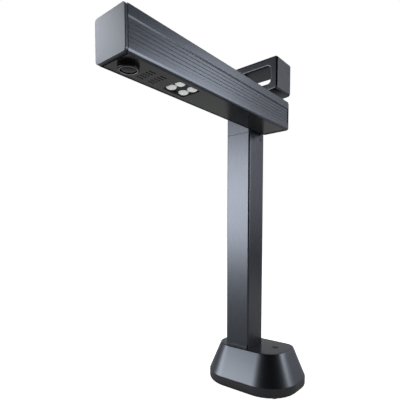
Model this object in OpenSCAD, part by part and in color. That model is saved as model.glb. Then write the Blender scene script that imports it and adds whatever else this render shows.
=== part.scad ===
// Desktop document camera: weighted base, square column, friction hinge, camera arm
// that folds down beside the column, and a carry handle over both.
// Millimetres. Origin at desk level under the centre of the base, +Z up, user at -Y.

/* [Base] */
// Width of the base's top face (X)
base_w = 105; // [102:1:112]
// Depth of the base's top face (Y)
base_d = 65.6; // [64:0.2:74]
// How far the base spreads on every side from its top face to its rim
base_flare = 17; // [14:0.5:20]
// Corner radius of the top face at the front
base_r_front = 28.5; // [24:0.5:29]
// Corner radius of the top face at the back
base_r_back = 17.2; // [14:0.2:22]
// Height of the tapered shell
shell_h = 40.7; // [38:0.1:48]
// Height of the upright rim of the base tray
rim_h = 15.1; // [14.5:0.1:18]
// Height that the feet stand proud of the tray
foot_h = 1.5; // [1:0.1:2.5]
// Wall of the shell and of the tray
base_wall = 3; // [2.5:0.1:3.5]

/* [Column] */
// Width of the column (X)
col_w = 38.8; // [38:0.1:40]
// Depth of the column (Y)
col_d = 39.1; // [38:0.1:41]
// Centre of the column in Y
col_y = -4.5; // [-8:0.5:0]
// Wall of the column tube
col_wall = 2.5; // [2:0.1:3]
// Corner radius of the column
col_r = 2.5; // [1:0.1:2.5]
// Height of the seam between tube and head block above the desk
seam_z = 362.2; // [340:0.1:380]

/* [Arm] */
// X of the arm's outer face
arm_face_x = 45; // [44:0.1:46]
// Width of the arm (X)
arm_w = 40.6; // [40:0.1:42]
// Height of the arm (Z)
arm_h = 37.6; // [37:0.1:38]
// Length of the arm from the front cap to the rear cap
arm_len = 280; // [260:1:300]
// Length of the arm behind the hinge axis
arm_tail = 15.5; // [14:0.1:16]
// Gap between the arm's lower face and the seam
arm_rise = 2.15; // [2:0.05:4]
// Running gap between arm and column
side_gap = 1; // [0.8:0.1:1.4]
// Wall of the arm's extrusion
arm_wall = 2.4; // [2.2:0.1:2.8]
// Fold of the arm below level, in degrees, used to draw the arm folded
arm_fold = 0; // [0:5:90]

/* [Camera and lamp] */
// Distance of the lens axis from the front of the arm
lens_from_front = 19; // [17:0.5:24]
// Outer diameter of the lens barrel
lens_d = 19; // [17:0.5:20]
// Height that the lens barrel stands below the arm
lens_drop = 3.5; // [3:0.5:6]
// Distance of the lamp's centre from the front of the arm
lamp_from_front = 85.8; // [80:0.1:92]
// Diameter of each lamp lens
led_d = 10.6; // [9:0.1:11.4]

/* [Handle] */
// Gap between the arm and the handle
handle_gap = 8.7; // [8:0.1:12]
// Outer height of the handle
handle_h = 43; // [38:0.2:48]
// Thickness of the handle's sides
handle_side = 11; // [8:0.1:11]
// Thickness of the handle's top bar
handle_bar = 11.5; // [8:0.1:12]
// Thickness of the handle's foot
handle_foot = 9.5; // [7:0.1:9.5]

/* [Button] */
// Diameter of the lamp button
button_d = 9; // [8:0.5:10]
// Travel of the lamp button
button_travel = 0.8; // [0.5:0.1:0.8]

/* [Hidden] */
$fn = 64;
EPS = 0.01;
HULL_FN = 96;

// Levels of the base
tray_z = foot_h;
shell_z = tray_z + rim_h;
base_top = shell_z + shell_h;
panel_t = 1.5;
panel_z = base_top - panel_t;
panel_inset = 2.5;
floor_z = tray_z + base_wall;
rim_round = 5.5;
ballast_t = shell_z - floor_z - 0.1;
ballast_z = floor_z;
ballast_inset = 8;
flange_z = ballast_z + ballast_t;
flange_t = 6;

// Column and head
col_x1 = arm_face_x - arm_w - side_gap;
col_x0 = col_x1 - col_w;
col_x = (col_x0 + col_x1) / 2;
col_y0 = col_y - col_d / 2;
col_y1 = col_y + col_d / 2;
col_z0 = flange_z + flange_t;
spigot_play = 0.1;
spigot_wall = 3;
spigot_h = 28;
cable_z = col_z0 + 16;
cable_x = col_x0 + 11.5;

// Arm
arm_x0 = arm_face_x - arm_w;
arm_x = arm_face_x - arm_w / 2;
arm_z0 = seam_z + arm_rise;
arm_z1 = arm_z0 + arm_h;
hinge_y = col_y;
hinge_z = arm_z0 + arm_h / 2;
arm_y1 = hinge_y + arm_tail;
arm_y0 = arm_y1 - arm_len;
front_cap_t = 2.6;
rear_cap_t = 3;
cap_shadow = 0.6;
plug_in = 4;
tube_y0 = arm_y0 + front_cap_t + cap_shadow;
tube_y1 = arm_y1 - rear_cap_t;
tube_len = tube_y1 - tube_y0;
cover_t = 2;
cover_lip = 1;
cover_bite = 1;
cover_z = arm_z0 + cover_lip;
cover_w = arm_w - 2 * arm_wall + 2 * cover_bite;
groove_n = 6;
groove_pitch = 0.0984 * arm_h;
groove_first = 0.285 * arm_h;
groove_w = 1.1;
groove_depth = 0.7;
rib_recess = 0.6;
rib_top = 0.246 * arm_h;
rib_bottom = groove_first + (groove_n - 1) * groove_pitch;
port_d = 5.4;
port_bore = 2.2;
port_in = 5.2;

// Head block and handle
head_top = arm_z1 + handle_gap;
head_wall = 3;
head_hinge_wall = 5;
head_roof = 6;
head_in_x1 = col_x1 - head_hinge_wall;
head_spigot = 24;
handle_z0 = head_top;
handle_z1 = handle_z0 + handle_h;
handle_r = 4;
handle_corner = 3;

// Hinge
shaft_r = 7;
shaft_bore = 4;
running = 0.05;
bush_r = 9;
bush_flange_r = 12;
bush_flange_t = 1.5;
washer_t = 1.5;
spring_t = 2.6;
nut_t = 6;
nut_af = 22;
shaft_flange_r = 10.4;
shaft_flange_t = 3;
plate_t = 4;
plate_x0 = arm_x0 + arm_wall;
stop_r = 12;
stop_pin_r = 2;
stop_play = 0.4;
fold_range = 90;
stop_angle = 225;
cap_r = 13;

// Camera
lens_y = arm_y0 + lens_from_front;
lens_z0 = arm_z0 - lens_drop;
lens_bore_r = lens_d / 2 - 1.9;
barrel_top = arm_z0 + 9;
holder_top = barrel_top + 8;
camera_board_t = 1.6;

// Lamp
lamp_y = arm_y0 + lamp_from_front;
lamp_w = 24.4;
lamp_l = 29.2;
lamp_r = 3;
lamp_depth = 1.8;
led_pitch_x = 12.3;
led_pitch_y = 17.6;
led_dome = 2.2;
tray_t = 1.2;
tray_floor = cover_z + lamp_depth;
led_board_z = tray_floor + 4.2;

// Microphone holes
mic_rows = 5;
mic_row_pitch = 4.2;
mic_hole_pitch = 2.7;
mic_hole_d = 2;
mic_group_y = [40.1, 53.5];
mic_x = arm_x - 1.4;

// Button and its switch
button_x = 31.9;
button_y = 3;
button_play = 0.2;
button_flange_r = button_d / 2 + 1.2;
switch_top = panel_z - 2.8;
switch_gap = button_travel + 0.1;

// Rounded rectangle from corner p to corner q, from exact squares and circles
module plate2d(p, q, r) {
    translate([p[0] + r, p[1]]) square([q[0] - p[0] - 2 * r, q[1] - p[1]]);
    translate([p[0], p[1] + r]) square([q[0] - p[0], q[1] - p[1] - 2 * r]);
    for (x = [p[0] + r, q[0] - r], y = [p[1] + r, q[1] - r])
        translate([x, y]) circle(r);
}

module plate_z(p, q, r, z0, z1) {
    translate([0, 0, z0]) linear_extrude(z1 - z0) plate2d(p, q, r);
}

// Block centred in X and Y on c, from z0 to z1
module block(c, size, z0, z1) {
    translate([c[0] - size[0] / 2, c[1] - size[1] / 2, z0]) cube([size[0], size[1], z1 - z0]);
}

// Cylinder along +X from x0 to x1 on the line (y, z)
module rod_x(r, x0, x1, y, z) {
    translate([x0, y, z]) rotate([0, 90, 0]) cylinder(h = x1 - x0, r = r);
}

// Countersunk screw with its head face at z = 0 and its shank along +Z
module flat_screw(d, length) {
    difference() {
        union() {
            cylinder(h = d * 0.55, r1 = d, r2 = d / 2);
            cylinder(h = length, r = d / 2);
        }
        translate([0, 0, -EPS]) cylinder(h = d * 0.35, r = d * 0.42, $fn = 6);
    }
}

// Pan-head screw with its shank along +Z from z = 0 and its head below
module pan_screw(d, length) {
    difference() {
        union() {
            translate([0, 0, -d * 0.6]) cylinder(h = d * 0.6, r = d * 0.95);
            cylinder(h = length, r = d / 2);
        }
        translate([0, 0, -d * 0.6 - EPS]) cylinder(h = d * 0.35, r = d * 0.42, $fn = 6);
    }
}

// Corner centres and radii of the base's outline: two large at the front, two small at the back
function base_corners() = [
    for (s = [-1, 1]) [s * (base_w / 2 - base_r_front), -base_d / 2 + base_r_front, base_r_front],
    for (s = [-1, 1]) [s * (base_w / 2 - base_r_back), base_d / 2 - base_r_back, base_r_back]
];

// The base's outline grown by g from the top face, from exact circles and a polygon
module outline2d(g) {
    c = base_corners();
    w = base_w / 2 + g;
    y0 = -base_d / 2 - g;
    y1 = base_d / 2 + g;
    for (k = c) translate([k[0], k[1]]) circle(k[2] + g);
    polygon([
        [c[0][0], y0], [c[1][0], y0], [w, c[1][1]], [w, c[3][1]],
        [c[3][0], y1], [c[2][0], y1], [-w, c[2][1]], [-w, c[0][1]]
    ]);
}

// The tapered body of the base, pulled in by `inset` on every side
module base_taper(inset, z0, z1) {
    hull() for (k = base_corners())
        translate([k[0], k[1], z0])
            cylinder(
                h = z1 - z0,
                r1 = k[2] + base_flare * (base_top - z0) / shell_h - inset,
                r2 = k[2] + base_flare * (base_top - z1) / shell_h - inset,
                $fn = HULL_FN
            );
}

module column_hole(play, z0, z1) {
    plate_z([col_x0 - play, col_y0 - play], [col_x1 + play, col_y1 + play], col_r, z0, z1);
}

base_screw_x = 53;
base_screw_y = 18;

module at_base_screws() {
    for (x = [-base_screw_x, base_screw_x], y = [-base_screw_y, base_screw_y])
        translate([x, y, 0]) children();
}

// ---- base ----

module base_shell() {
    boss_top = panel_z - 6;
    color("#8a929c") difference() {
        union() {
            difference() {
                base_taper(0, shell_z, base_top);
                base_taper(base_wall, shell_z - EPS, base_top - panel_t - 2);
            }
            intersection() {
                at_base_screws() translate([0, 0, shell_z]) cylinder(h = boss_top - shell_z, r = 4);
                base_taper(1, shell_z, base_top - 1);
            }
        }
        translate([0, 0, panel_z]) linear_extrude(panel_t + 1) outline2d(-panel_inset);
        column_hole(0.2, shell_z, base_top + 1);
        translate([button_x, button_y, shell_z]) cylinder(h = shell_h, r = button_flange_r + 0.8);
        at_base_screws() translate([0, 0, shell_z - 1]) cylinder(h = 16, r = 1.55);
    }
}

module base_top_panel() {
    color("#4a4947") difference() {
        translate([0, 0, panel_z]) linear_extrude(panel_t) outline2d(-panel_inset - 0.1);
        column_hole(0.15, panel_z - 1, base_top + 1);
        translate([button_x, button_y, panel_z - 1]) cylinder(h = panel_t + 2, r = button_d / 2 + button_play);
        translate([button_x, button_y, base_top - 0.5])
            cylinder(h = 1, r1 = button_d / 2, r2 = button_d / 2 + 1.2);
    }
}

usb_x = 34;
usb_w = 9;
usb_h = 3.3;
usb_z = 9;

module base_tray() {
    steps = 6;
    back_y = base_d / 2 + base_flare;
    color("#3a3e43") difference() {
        union() {
            translate([0, 0, tray_z + rim_round]) linear_extrude(rim_h - rim_round) outline2d(base_flare);
            hull() for (k = base_corners(), i = [0 : steps]) {
                a = 90 * i / steps;
                translate([k[0], k[1], tray_z + rim_round * (1 - sin(a))])
                    cylinder(h = rim_round * sin(a) + EPS, $fn = HULL_FN,
                        r = k[2] + base_flare - rim_round * (1 - cos(a)));
            }
        }
        translate([0, 0, floor_z]) linear_extrude(rim_h) outline2d(base_flare - base_wall);
        block([usb_x, back_y], [usb_w + 0.4, 3 * base_wall], usb_z - 0.2, usb_z + usb_h + 0.2);
        at_base_screws() translate([0, 0, tray_z - EPS]) cylinder(h = 1.9, r1 = 3.3, r2 = 1.7);
        at_base_screws() translate([0, 0, tray_z - 1]) cylinder(h = base_wall + 2, r = 1.7);
        at_feet() translate([0, 0, tray_z - EPS]) cylinder(h = 1, r = foot_r + 0.1);
    }
}

foot_r = 5;

module at_feet() {
    for (s = [-1, 1]) {
        translate([s * 48.5, -29, 0]) children();
        translate([s * 52, 32, 0]) children();
    }
}

module rubber_feet() {
    color("#1d1d1f") at_feet() {
        cylinder(h = 0.5 + EPS, r1 = foot_r - 0.5, r2 = foot_r);
        translate([0, 0, 0.5]) cylinder(h = foot_h + 0.4, r = foot_r);
    }
}

module ballast_plate() {
    color("#70757a") difference() {
        translate([0, 0, ballast_z]) linear_extrude(ballast_t) outline2d(base_flare - ballast_inset);
        block([usb_x, base_d / 2 + base_flare - 8], [26, 30], ballast_z - 1, flange_z + 1);
        at_base_screws() translate([0, 0, ballast_z - 1]) cylinder(h = ballast_t + 2, r = 1.8);
        at_socket_screws() translate([0, 0, flange_z - 8]) cylinder(h = 9, r = 2.05);
        at_board_screws() translate([0, 0, flange_z - 3]) cylinder(h = 4, r = 1.45);
    }
}

module base_screws() {
    color("#9a9ea2") at_base_screws() translate([0, 0, tray_z]) flat_screw(3, shell_z + 8 - tray_z);
}

// ---- column ----

flange_w = col_w + 20;
flange_d = col_d + 16;

module at_socket_screws() {
    for (x = [-1, 1], y = [-1, 1])
        translate([col_x + x * (flange_w / 2 - 5.5), col_y + y * (flange_d / 2 - 5), 0]) children();
}

module at_clamp_screws() {
    for (y = [-9, 9]) translate([col_x1, col_y + y, col_z0 + 10]) rotate([0, -90, 0]) children();
}

// Hollow spigot that fills the column tube's bore
module spigot(z0, z1) {
    in = col_wall + spigot_play;
    bore = in + spigot_wall;
    difference() {
        plate_z([col_x0 + in, col_y0 + in], [col_x1 - in, col_y1 - in], 1.5, z0, z1);
        plate_z([col_x0 + bore, col_y0 + bore], [col_x1 - bore, col_y1 - bore], 1.5, z0 - 1, z1 + 1);
    }
}

module column_socket() {
    bore = col_wall + spigot_play + spigot_wall;
    p = [col_x - flange_w / 2, col_y - flange_d / 2];
    color("#7d8186") difference() {
        union() {
            difference() {
                plate_z(p, p + [flange_w, flange_d], 4, flange_z, col_z0);
                plate_z([col_x0 + bore, col_y0 + bore], [col_x1 - bore, col_y1 - bore], 1.5,
                    flange_z - 1, col_z0 + 1);
            }
            spigot(col_z0 - EPS, col_z0 + spigot_h);
        }
        at_socket_screws() translate([0, 0, flange_z - 1]) cylinder(h = flange_t + 2, r = 2.2);
        at_clamp_screws() translate([0, 0, -1]) cylinder(h = 10, r = 1.5);
        rod_x(4, col_x, col_x1 + 1, col_y, cable_z);
    }
}

module socket_screws() {
    color("#9a9ea2") at_socket_screws() translate([0, 0, col_z0]) rotate([180, 0, 0]) pan_screw(4, flange_t + 7);
}

module column_tube() {
    color("#8d9196") difference() {
        plate_z([col_x0, col_y0], [col_x1, col_y1], col_r, col_z0, seam_z);
        plate_z([col_x0 + col_wall, col_y0 + col_wall], [col_x1 - col_wall, col_y1 - col_wall], 1,
            col_z0 - 1, seam_z + 1);
        rod_x(4, col_x, col_x1 + 1, col_y, cable_z);
        at_clamp_screws() translate([0, 0, -1]) cylinder(h = 10, r = 1.6);
        at_head_screws() translate([0, 0, -1]) cylinder(h = 10, r = 1.7);
        at_head_screws() translate([0, 0, -EPS]) cylinder(h = 1.65, r1 = 3.1, r2 = 1.5);
    }
}

module column_clamp_screws() {
    color("#9a9ea2") at_clamp_screws() translate([0, 0, 0.2]) cylinder(h = 5, r = 1.5);
}

// ---- electronics in the base ----

board_x0 = 14;
board_w = 34;
board_l = 52;
board_z = flange_z + 9;
board_t = 1.6;

module at_board_screws() {
    for (x = [board_x0 + 3.5, board_x0 + board_w - 3.5], y = [-board_l / 2 + 3.5, board_l / 2 - 3.5])
        translate([x, y, 0]) children();
}

module main_board() {
    color("#2f6b45") {
        difference() {
            block([board_x0 + board_w / 2, 0], [board_w, board_l], board_z, board_z + board_t);
            at_board_screws() translate([0, 0, board_z - 1]) cylinder(h = 4, r = 1.6);
        }
        block([board_x0 + 18, -6], [14, 14], board_z + board_t - EPS, board_z + board_t + 1.6);
        block([board_x0 + 10, 12], [8, 6], board_z + board_t - EPS, board_z + board_t + 3);
    }
}

module board_screws() {
    color("#9a9ea2") at_board_screws() {
        translate([0, 0, flange_z]) cylinder(h = board_z - flange_z, r = 2.4);
        translate([0, 0, flange_z - 2.8]) cylinder(h = board_z - flange_z + 2.8 + board_t + EPS, r = 1.4);
        translate([0, 0, board_z + board_t]) cylinder(h = 1.6, r = 2.6);
    }
}

module usb_board() {
    color("#2f6b45") block([usb_x, base_d / 2 + base_flare - 12], [18, 14], usb_z - 1.2, usb_z);
}

module usb_socket() {
    y1 = base_d / 2 + base_flare - 0.3;
    color("#b9bcc0") difference() {
        block([usb_x, y1 - 4], [usb_w, 8], usb_z, usb_z + usb_h);
        block([usb_x, y1 - 2], [usb_w - 0.8, 7], usb_z + 0.4, usb_z + usb_h - 0.4);
    }
    color("#22252a") block([usb_x, y1 - 4], [usb_w - 2.6, 6.4], usb_z + 1.3, usb_z + 2);
}

module switch_board() {
    color("#2f6b45") block([button_x, button_y], [16, 16], switch_top - 4.6, switch_top - 3.4);
    color("#c9c9c4") for (x = [-6, 6])
        translate([button_x + x, button_y + 6, switch_top - 3.4])
            cylinder(h = base_top - panel_t - 2 - switch_top + 3.4, r = 1.6);
}

module button_switch() {
    color("#2b2d30") {
        block([button_x, button_y], [6, 6], switch_top - 3.4, switch_top - 0.8);
        translate([button_x, button_y, switch_top - 0.8 - EPS]) cylinder(h = 0.8, r = 1.7);
    }
}

module lamp_button() {
    stem_z0 = switch_top + switch_gap;
    flange_top = panel_z - 0.15;
    color("#262829") translate([button_x, button_y, 0]) difference() {
        union() {
            translate([0, 0, flange_top - 0.8]) cylinder(h = 0.8, r = button_flange_r);
            translate([0, 0, flange_top - EPS]) cylinder(h = base_top - 0.3 - flange_top, r = button_d / 2);
            translate([0, 0, stem_z0]) cylinder(h = flange_top - stem_z0, r = 2);
        }
        translate([0, 0, base_top - 0.3 + 17.4]) sphere(18);
    }
}

// Round cable along the points of a route
module wire(route, d) {
    for (i = [0 : len(route) - 2]) {
        a = route[i];
        b = route[i + 1];
        v = b - a;
        n = norm(v);
        translate(a)
            rotate([0, acos(v[2] / n), atan2(v[1], v[0])])
                cylinder(h = n, r = d / 2);
        if (i > 0) translate(a) sphere(d / 2 + 0.06);
    }
}

module column_cable() {
    z = board_z + board_t + 2.6;
    color("#1f2123") wire([
        [board_x0 + 4.5, 12, z], [board_x0 - 4, col_y, cable_z], [cable_x, col_y, cable_z],
        [cable_x, col_y, hinge_z], [arm_x0 - side_gap, hinge_y, hinge_z]
    ], 4);
}

// ---- head ----

head_screw_z = seam_z - 5.1;

module at_head_screws() {
    for (y = [-9.6, 9.6]) translate([col_x1, col_y + y, head_screw_z]) rotate([0, -90, 0]) children();
}

module head_block() {
    color("#8d9196") difference() {
        union() {
            plate_z([col_x0, col_y0], [col_x1, col_y1], col_r, seam_z, head_top);
            spigot(seam_z - head_spigot, seam_z + EPS);
        }
        plate_z([col_x0 + head_wall, col_y0 + head_wall], [head_in_x1, col_y1 - head_wall], 1.5,
            seam_z + 6, head_top - head_roof);
        plate_z([col_x0 + 6, col_y0 + 6], [col_x1 - 6, col_y1 - 6], 1.5,
            seam_z - head_spigot - 1, seam_z + 8);
        rod_x(bush_r, head_in_x1 - 1, col_x1 + 1, hinge_y, hinge_z);
        rod_x(cap_r, col_x0 - 1, col_x0 + head_wall + 1, hinge_y, hinge_z);
        at_stop_pin() rod_x(stop_pin_r, head_in_x1 + 1, col_x1 + 1, 0, 0);
        at_head_screws() translate([0, 0, -1]) cylinder(h = 10, r = 1.3);
        at_handle_screws() translate([0, 0, head_top - head_roof - 1]) cylinder(h = head_roof + 2, r = 2.2);
    }
}

module head_screws() {
    color("#5e6266") at_head_screws() translate([0, 0, 0.15]) flat_screw(2.6, 6.5);
}

module hinge_access_cap() {
    color("#3a3e43") {
        rod_x(cap_r - 0.05, col_x0, col_x0 + head_wall, hinge_y, hinge_z);
        difference() {
            rod_x(cap_r - 0.6, col_x0 + 1, col_x0 + head_wall + 2.5, hinge_y, hinge_z);
            rod_x(cap_r - 2, col_x0 + 2, col_x0 + head_wall + 4, hinge_y, hinge_z);
        }
    }
}

module at_handle_screws() {
    for (y = [-10, 10]) translate([col_x - 2, col_y + y, 0]) children();
}

// Bar between two corners in X and Z with rounded corners, along the handle's whole depth
module handle_slab(p, q, r, y0, y1) {
    translate([0, y1, 0]) rotate([90, 0, 0]) linear_extrude(y1 - y0) plate2d(p, q, r);
}

module carry_handle() {
    p = [col_x0, handle_z0];
    q = [arm_face_x, handle_z1];
    color("#7c8086") difference() {
        handle_slab(p, q, handle_corner, col_y0, col_y1);
        handle_slab([p[0] + handle_side, p[1] + handle_foot], [q[0] - handle_side, q[1] - handle_bar],
                    handle_r, col_y0 - 1, col_y1 + 1);
        at_handle_screws() translate([0, 0, handle_z0 - 1]) cylinder(h = 7.5, r = 1.8);
    }
}

module handle_screws() {
    color("#9a9ea2") at_handle_screws() translate([0, 0, head_top - head_roof]) pan_screw(3.6, head_roof + 6);
}

// ---- hinge ----

module hinge_bush() {
    color("#c2a35c") difference() {
        union() {
            rod_x(bush_r, head_in_x1, col_x1, hinge_y, hinge_z);
            rod_x(bush_flange_r, head_in_x1 - bush_flange_t, head_in_x1, hinge_y, hinge_z);
        }
        rod_x(shaft_r + running, head_in_x1 - 5, col_x1 + 1, hinge_y, hinge_z);
    }
}

module thrust_washer() {
    color("#e3e0d6") difference() {
        rod_x(9.4, col_x1, arm_x0 - 0.05, hinge_y, hinge_z);
        rod_x(shaft_r + 0.3, col_x1 - 1, arm_x0 + 1, hinge_y, hinge_z);
    }
}

washer_x1 = head_in_x1 - bush_flange_t;

module friction_washer() {
    color("#4c4f52") difference() {
        rod_x(11.5, washer_x1 - washer_t, washer_x1, hinge_y, hinge_z);
        rod_x(shaft_r + 0.3, washer_x1 - washer_t - 1, washer_x1 + 1, hinge_y, hinge_z);
    }
}

module disc_springs() {
    x1 = washer_x1 - washer_t - 0.05;
    color("#8f9498") difference() {
        union() {
            translate([x1 - spring_t / 2, hinge_y, hinge_z])
                rotate([0, 90, 0]) cylinder(h = spring_t / 2, r1 = 10, r2 = 11);
            translate([x1 - spring_t, hinge_y, hinge_z])
                rotate([0, 90, 0]) cylinder(h = spring_t / 2 + EPS, r1 = 11, r2 = 10);
        }
        rod_x(shaft_r + EPS, x1 - spring_t - 1, x1 + 1, hinge_y, hinge_z);
    }
}

nut_x1 = washer_x1 - washer_t - 0.05 - spring_t;

module hinge_nut() {
    color("#a5a9ad") difference() {
        translate([nut_x1 - nut_t, hinge_y, hinge_z])
            rotate([0, 90, 0]) cylinder(h = nut_t, r = nut_af / 2 / cos(30), $fn = 6);
        rod_x(shaft_r, nut_x1 - nut_t - 1, nut_x1 + 1, hinge_y, hinge_z);
    }
}

module hinge_shaft() {
    x0 = nut_x1 - nut_t - 1;
    x1 = plate_x0 + plate_t;
    color("#a5a9ad") difference() {
        union() {
            rod_x(shaft_r, x0, x1 + EPS, hinge_y, hinge_z);
            rod_x(shaft_flange_r, x1, x1 + shaft_flange_t, hinge_y, hinge_z);
        }
        rod_x(shaft_bore, x0 - 1, x1 + shaft_flange_t + 1, hinge_y, hinge_z);
    }
}

// The stop pin sits in the head block; the arm carries the slot that it runs in
module at_stop_pin() {
    translate([0, hinge_y + stop_r * cos(stop_angle), hinge_z + stop_r * sin(stop_angle)]) children();
}

module stop_pin() {
    color("#a5a9ad") at_stop_pin() rod_x(stop_pin_r, head_in_x1 + 1, plate_x0 + plate_t - 0.5, 0, 0);
}

// Slot for the pin over the whole fold, from the pin's place at rest backwards
module stop_slot(x0, x1) {
    w = stop_pin_r + stop_play;
    a0 = stop_angle - fold_range;
    translate([x0, hinge_y, hinge_z]) rotate([90, 0, 90]) {
        rotate([0, 0, a0]) rotate_extrude(angle = fold_range)
            translate([stop_r - w, 0]) square([2 * w, x1 - x0]);
        for (a = [a0, stop_angle])
            rotate([0, 0, a]) translate([stop_r, 0, 0]) cylinder(h = x1 - x0, r = w);
    }
}

plate_back = tube_y1 - plug_in - 0.3;
plate_l = 34;
plate_z0 = arm_z0 + 3.8;
plate_z1 = arm_z1 - port_in - port_d / 2 - 0.4;

module at_plate_screws() {
    for (z = [plate_z0 + 5, plate_z1 - 5])
        translate([arm_x0, plate_back - plate_l + 4.5, z]) rotate([0, 90, 0]) children();
}

module hinge_plate() {
    color("#8b9095") difference() {
        translate([plate_x0, plate_back - plate_l, plate_z0]) cube([plate_t, plate_l, plate_z1 - plate_z0]);
        rod_x(shaft_r + EPS, plate_x0 - 1, plate_x0 + plate_t + 1, hinge_y, hinge_z);
        stop_slot(plate_x0 - 1, plate_x0 + plate_t + 1);
        at_plate_screws() cylinder(h = 20, r = 1.5);
    }
}

module hinge_plate_screws() {
    color("#9a9ea2") at_plate_screws() translate([0, 0, 0.1]) flat_screw(3, arm_wall + plate_t);
}

// ---- arm ----

// Upright section of the arm: a channel open below, with ribbed sides and screw ports
module arm_section() {
    x0 = arm_x0;
    x1 = arm_face_x;
    z0 = arm_z0;
    z1 = arm_z1;
    difference() {
        plate2d([x0, z0], [x1, z1], 1.5);
        for (s = [0, 1]) {
            side = s == 0 ? x0 : x1;
            out = s == 0 ? -1 : 1;
            polygon([
                [side + out, z1 - rib_top], [side, z1 - rib_top],
                [side - out * rib_recess, z1 - rib_top - rib_recess],
                [side - out * rib_recess, z1 - rib_bottom], [side + out, z1 - rib_bottom]
            ]);
            for (i = [0 : groove_n - 1])
                translate([side - groove_depth - rib_recess, z1 - groove_first - i * groove_pitch - groove_w / 2])
                    square([2 * (groove_depth + rib_recess), groove_w]);
        }
        difference() {
            translate([x0 + arm_wall, cover_z + cover_t / 2])
                square([arm_w - 2 * arm_wall, arm_h - arm_wall - cover_lip - cover_t / 2]);
            for (x = [x0 + port_in, x1 - port_in])
                translate([x, z1 - port_in]) circle(port_d / 2);
            for (x = [x0 + port_in - port_d, x1 - port_in])
                translate([x, z1 - port_in]) square([port_d, port_d]);
        }
        translate([arm_x - cover_w / 2, cover_z - 0.1]) square([cover_w, cover_t + 0.2]);
        translate([x0 + arm_wall, z0 - 1]) square([arm_w - 2 * arm_wall, 3]);
        for (x = [x0 + port_in, x1 - port_in]) translate([x, z1 - port_in]) circle(port_bore / 2);
    }
}

module arm_extrusion() {
    color("#6d727b") difference() {
        translate([0, tube_y1, 0]) rotate([90, 0, 0]) linear_extrude(tube_len) arm_section();
        rod_x(shaft_r + 0.4, arm_x0 - 1, arm_x0 + arm_wall + 1, hinge_y, hinge_z);
        stop_slot(arm_x0 - 1, arm_x0 + arm_wall + 1);
        at_plate_screws() translate([0, 0, -EPS]) cylinder(h = 1.7, r1 = 3.3, r2 = 1.6);
        at_plate_screws() translate([0, 0, -1]) cylinder(h = 5, r = 1.6);
    }
}

module at_mic_holes() {
    for (g = mic_group_y, i = [-1 : 1], j = [0 : mic_rows - 1])
        translate([mic_x + (j - (mic_rows - 1) / 2) * mic_row_pitch, arm_y0 + g + i * mic_hole_pitch, 0])
            children();
}

module arm_bottom_cover() {
    color("#3f403f") difference() {
        translate([arm_x - cover_w / 2 + 0.1, tube_y0, cover_z]) cube([cover_w - 0.2, tube_len, cover_t]);
        translate([arm_x, lens_y, cover_z - 1]) cylinder(h = cover_t + 2, r = lens_d / 2 + 0.15);
        plate_z([arm_x - lamp_w / 2, lamp_y - lamp_l / 2], [arm_x + lamp_w / 2, lamp_y + lamp_l / 2], lamp_r,
                cover_z - 1, cover_z + cover_t + 1);
        at_mic_holes() translate([0, 0, cover_z - 1]) cylinder(h = cover_t + 2, r = mic_hole_d / 2, $fn = 16);
    }
}

// Cap plate with rounded corners, a neck that leaves the shadow gap, and a plug in the channel
module arm_cap(y0, t, neck, r, plug) {
    s = plug > 0 ? 1 : -1;
    y_in = s > 0 ? y0 + t : y0;
    in = arm_wall + 0.1;
    z_in = cover_lip + cover_t + 0.3;
    handle_slab([arm_x0, arm_z0], [arm_face_x, arm_z1], r, y0, y0 + t);
    if (neck > 0)
        handle_slab([arm_x0 + 1, arm_z0 + 1], [arm_face_x - 1, arm_z1 - 1], 2, y_in, y_in + neck);
    difference() {
        translate([arm_x0 + in, min(y_in, y_in + plug), arm_z0 + z_in])
            cube([arm_w - 2 * in, abs(plug), arm_h - in - z_in]);
        translate([arm_x0 + in + 2, min(y_in, y_in + plug) - 1, arm_z0 + z_in + 2])
            cube([arm_w - 2 * in - 4, abs(plug) + 2, arm_h - in - z_in - 4]);
        for (x = [arm_x0 + port_in, arm_face_x - port_in])
            translate([x - port_d / 2 - 2.5, min(y_in, y_in + plug) - 1, arm_z1 - port_in - port_d / 2 - 0.2])
                cube([port_d + 5, abs(plug) + 2, 20]);
    }
}

module front_cap() {
    color("#9aa3ae") arm_cap(arm_y0, front_cap_t, cap_shadow, 3, cap_shadow + plug_in);
}

module at_rear_screws() {
    for (x = [arm_x0 + port_in, arm_face_x - port_in])
        translate([x, arm_y1, arm_z1 - port_in]) rotate([90, 0, 0]) children();
}

module rear_cap() {
    color("#7b838c") difference() {
        arm_cap(tube_y1, rear_cap_t, 0, 3, -plug_in);
        at_rear_screws() translate([0, 0, -EPS]) cylinder(h = 1.4, r1 = 2.7, r2 = 1.3);
        at_rear_screws() translate([0, 0, -1]) cylinder(h = rear_cap_t + 6, r = 1.3);
    }
}

module rear_cap_screws() {
    color("#9a9ea2") at_rear_screws() translate([0, 0, 0.1]) flat_screw(2.2, 10);
}

// ---- camera ----

module at_lens() {
    translate([arm_x, lens_y, 0]) children();
}

module lens_barrel() {
    color("#17181a") at_lens() difference() {
        translate([0, 0, lens_z0]) cylinder(h = barrel_top - lens_z0, r = lens_d / 2);
        translate([0, 0, lens_z0 - EPS]) cylinder(h = 2.6, r = lens_bore_r);
        translate([0, 0, lens_z0 + 2.5]) cylinder(h = barrel_top - lens_z0, r = 5);
        translate([0, 0, lens_z0 - EPS]) cylinder(h = 0.5, r1 = lens_d / 2 - 0.8, r2 = lens_bore_r);
    }
}

module lens_retainer() {
    color("#2a2c2e") at_lens() difference() {
        translate([0, 0, lens_z0 + 0.7]) cylinder(h = 0.8, r = lens_bore_r - 0.02);
        translate([0, 0, lens_z0]) cylinder(h = 2, r = 5.6);
    }
}

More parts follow.
